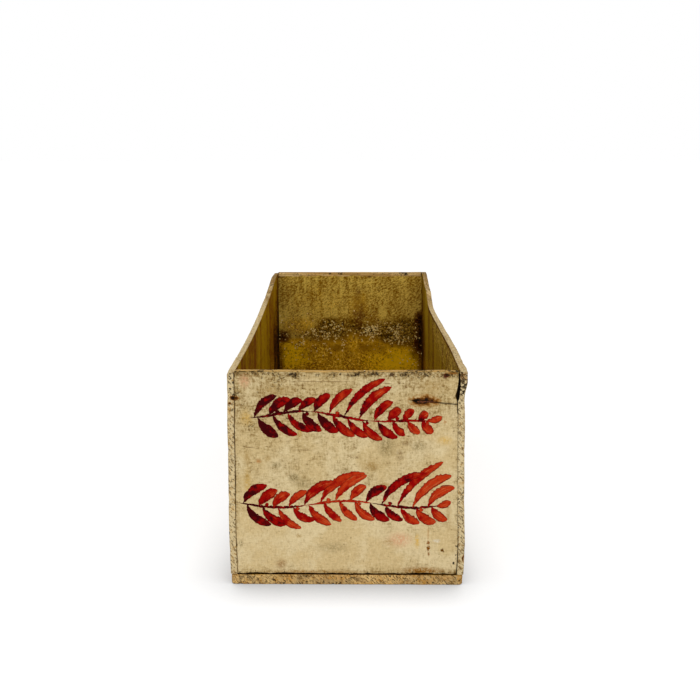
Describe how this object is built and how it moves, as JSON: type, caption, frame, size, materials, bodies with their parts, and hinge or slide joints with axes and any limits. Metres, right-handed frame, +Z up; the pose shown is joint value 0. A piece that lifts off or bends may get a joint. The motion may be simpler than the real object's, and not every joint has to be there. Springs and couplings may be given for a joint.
{
  "type": "open pigment box",
  "caption": "Long, narrow, open-topped nailed wooden bin for dry pigment, with a low front board, a higher back board and side boards that rise to the back.",
  "frame": {"origin": "on the surface the box stands on, under the middle of the box", "axes": "+Y from the low front board to the high back board, +Z up, +X to the right as seen from the front"},
  "size_m": [0.2021, 0.49, 0.2111],
  "materials": {
    "painted_wood": "worn cream distemper on softwood with brushed red ornament",
    "pigment_stained_wood": "rough sawn softwood, dusty with brown and ochre pigment",
    "aged_wood": "old dry softwood, rubbed with pigment and worn at the edges",
    "rusted_nails": "rusted wire nails"
  },
  "bodies": {
    "root": {"front_board": "painted_wood", "back_board": "pigment_stained_wood", "left_side": "aged_wood", "right_side": "aged_wood", "wide_base_plank": "aged_wood", "narrow_base_plank": "aged_wood", "front_left_nails": "rusted_nails", "front_right_nails": "rusted_nails", "stray_nail": "rusted_nails", "top_edge_nail": "rusted_nails", "back_left_nails": "rusted_nails", "back_right_nails": "rusted_nails", "base_left_nails": "rusted_nails", "base_right_nails": "rusted_nails", "base_front_nails": "rusted_nails", "base_back_nails": "rusted_nails"}
  },
  "joints": []
}
